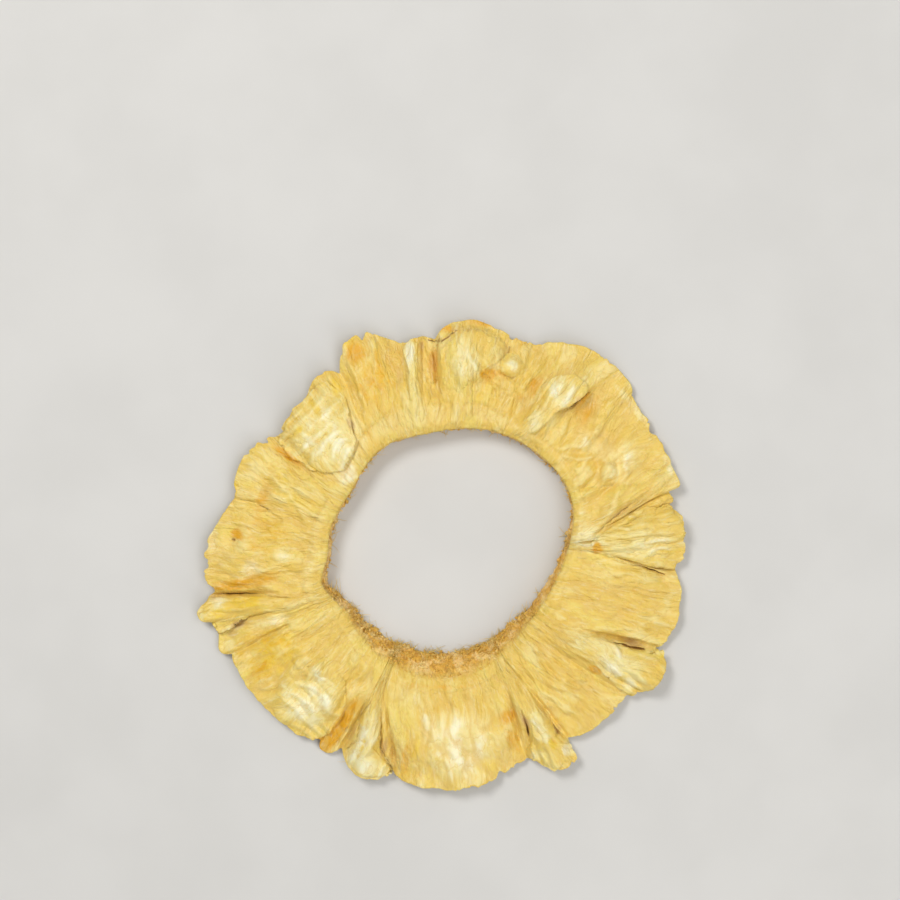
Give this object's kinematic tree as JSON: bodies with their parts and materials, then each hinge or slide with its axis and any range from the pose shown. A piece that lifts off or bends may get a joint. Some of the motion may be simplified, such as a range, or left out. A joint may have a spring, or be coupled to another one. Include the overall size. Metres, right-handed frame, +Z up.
{
  "type": "dried pineapple ring",
  "caption": "Dried pineapple ring: a cored, wrinkled fruit slice with a lobed, curled outline that lies flat, for bowls, trays and market displays.",
  "frame": {"origin": "centre of the slice's footprint, on the plane it rests on", "axes": "+Z up through the slice's thickness; +X and +Y lie across the slice"},
  "size_m": [0.0884, 0.086, 0.0075],
  "materials": {
    "dried_flesh": "satin, fibrous dried fruit"
  },
  "bodies": {
    "root": {"pineapple_ring": "dried_flesh"}
  },
  "joints": []
}
